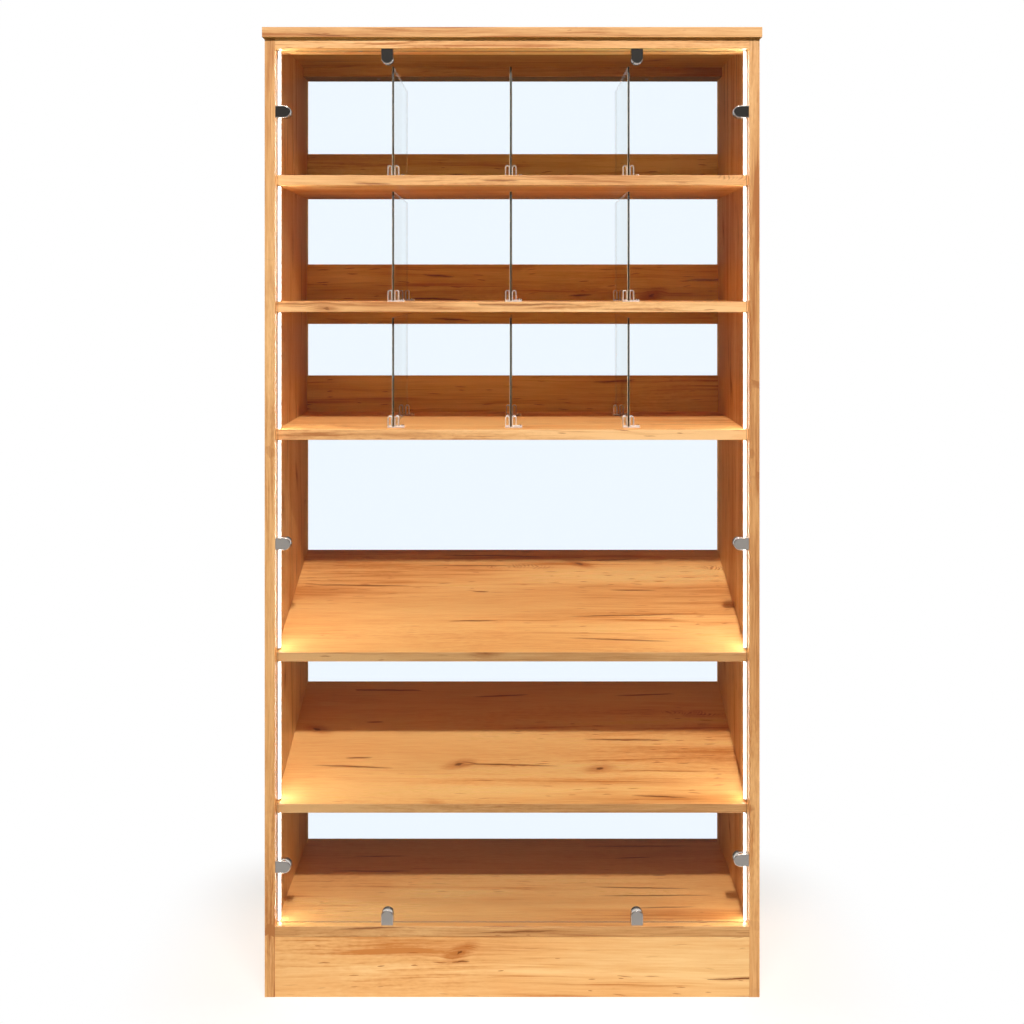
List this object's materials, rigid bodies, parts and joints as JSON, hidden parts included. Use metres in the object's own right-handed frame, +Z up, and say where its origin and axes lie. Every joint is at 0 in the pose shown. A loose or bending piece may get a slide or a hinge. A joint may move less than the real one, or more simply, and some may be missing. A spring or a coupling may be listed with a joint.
{
  "type": "display cabinet",
  "caption": "Tall open-backed display cabinet in golden oak board with glass bay dividers, sloped lower shelves, a clamped front pane and lit sides.",
  "frame": {"origin": "on the floor, under the middle of the cabinet's bounding box", "axes": "+Z up, the glass front faces -Y, the open back faces +Y, +X is to the right seen from the front"},
  "size_m": [0.877, 0.4074, 1.704],
  "materials": {
    "bright_steel": "bright plated steel",
    "channel_aluminium": "anodised, satin",
    "clamp_chrome": "polished chrome over zinc",
    "clear_clip": "clear moulded acrylic",
    "clear_glass": "clear tempered glass, very faint blue tint",
    "clip_white": "white cable clip",
    "cover_cap": "oak-coloured cover cap",
    "dowel_beech": "plain fluted beech",
    "end_cap": "grey-white end cap",
    "inlet_black": "black moulded inlet",
    "lamp_tape": "white lamp tape",
    "lead_sheath": "white cable sheath",
    "oak_board": "golden oak laminated board, satin",
    "oak_edge": "matching oak edge band, satin",
    "opal_cover": "opal diffuser, lit white",
    "pad_rubber": "soft translucent grey pad",
    "pin_brass": "plated brass pin",
    "supply_case": "off-white moulded case",
    "zinc_steel": "zinc plated steel"
  },
  "bodies": {
    "root": {"back_stop_lower": "oak_board", "back_stop_middle": "oak_board", "back_stop_upper": "oak_board", "bottom_panel": "oak_board", "clamp_pads": "pad_rubber", "clamp_screws": "bright_steel", "clamp_set_screws": "bright_steel", "confirmat_screws": "zinc_steel", "divider_clip_screws": "bright_steel", "divider_clips_lower": "clear_clip", "divider_clips_middle": "clear_clip", "divider_clips_upper": "clear_clip", "divider_lower_left": "clear_glass", "divider_lower_middle": "clear_glass", "divider_lower_right": "clear_glass", "divider_middle_left": "clear_glass", "divider_middle_middle": "clear_glass", "divider_middle_right": "clear_glass", "divider_upper_left": "clear_glass", "divider_upper_middle": "clear_glass", "divider_upper_right": "clear_glass", "dowels": "dowel_beech", "edge_bands_boards": "oak_edge", "edge_bands_cap": "oak_edge", "edge_bands_sides": "oak_edge", "edge_bands_stops": "oak_edge", "front_glass": "clear_glass", "glass_clamps_bottom": "clamp_chrome", "glass_clamps_left": "clamp_chrome", "glass_clamps_right": "clamp_chrome", "glass_clamps_top": "clamp_chrome", "kick_board": "oak_board", "lead_clips": "clip_white", "light_channels_left": "channel_aluminium", "light_channels_right": "channel_aluminium", "light_covers_left": "opal_cover", "light_covers_right": "opal_cover", "light_end_caps": "end_cap", "light_feed_leads": "lead_sheath", "light_jumper_leads": "lead_sheath", "light_tapes": "lamp_tape", "mains_lead": "lead_sheath", "plinth_board_rear": "oak_board", "power_inlet": "inlet_black", "power_inlet_pins": "pin_brass", "power_screws": "bright_steel", "power_supply": "supply_case", "screw_covers": "cover_cap", "shelf_lower": "oak_board", "shelf_middle": "oak_board", "shelf_stiffener": "oak_board", "shelf_upper": "oak_board", "side_panel_left": "oak_board", "side_panel_right": "oak_board", "sloped_shelf_lower": "oak_board", "sloped_shelf_upper": "oak_board", "top_cap": "oak_board", "top_rail_front": "oak_board", "top_rail_rear": "oak_board", "wood_screws": "zinc_steel"}
  },
  "joints": []
}
